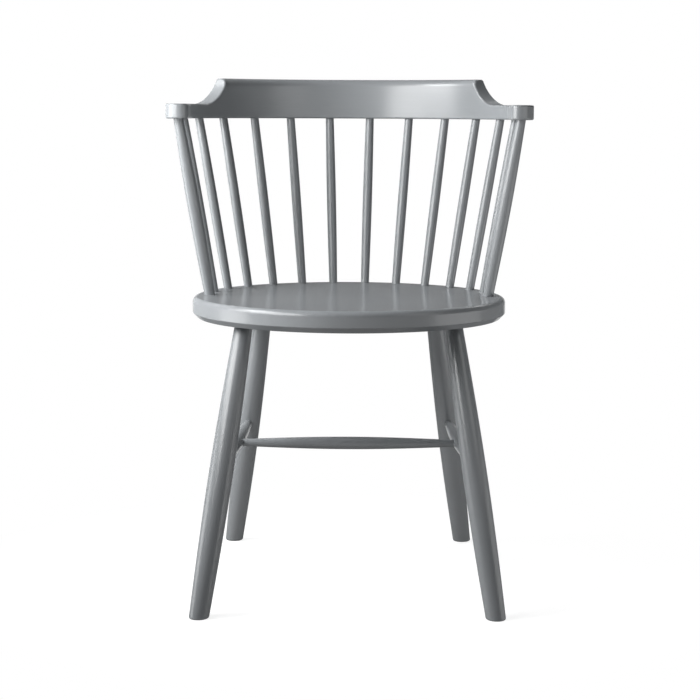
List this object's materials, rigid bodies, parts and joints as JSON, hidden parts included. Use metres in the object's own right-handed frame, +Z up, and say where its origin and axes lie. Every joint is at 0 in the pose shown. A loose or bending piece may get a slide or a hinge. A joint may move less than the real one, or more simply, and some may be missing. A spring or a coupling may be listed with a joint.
{
  "type": "wooden dining armchair",
  "caption": "Grey painted wooden armchair with a round seat, raked turned legs, an H stretcher and a horseshoe arm rail with a raised crest on thin turned spindles.",
  "frame": {"origin": "on the floor, under the middle of the chair's outline", "axes": "+Z up, the chair faces -Y, and +X is to the right as seen from the front"},
  "size_m": [0.5414, 0.5316, 0.7548],
  "materials": {
    "paint": "opaque satin grey paint"
  },
  "bodies": {
    "root": {"seat": "paint", "front_left_leg": "paint", "front_right_leg": "paint", "rear_left_leg": "paint", "rear_right_leg": "paint", "left_side_stretcher": "paint", "right_side_stretcher": "paint", "cross_stretcher": "paint", "left_arm_post": "paint", "right_arm_post": "paint", "back_spindle_01": "paint", "back_spindle_02": "paint", "back_spindle_03": "paint", "back_spindle_04": "paint", "back_spindle_05": "paint", "back_spindle_06": "paint", "back_spindle_07": "paint", "back_spindle_08": "paint", "back_spindle_09": "paint", "back_spindle_10": "paint", "back_spindle_11": "paint", "back_spindle_12": "paint", "back_rail": "paint"}
  },
  "joints": []
}
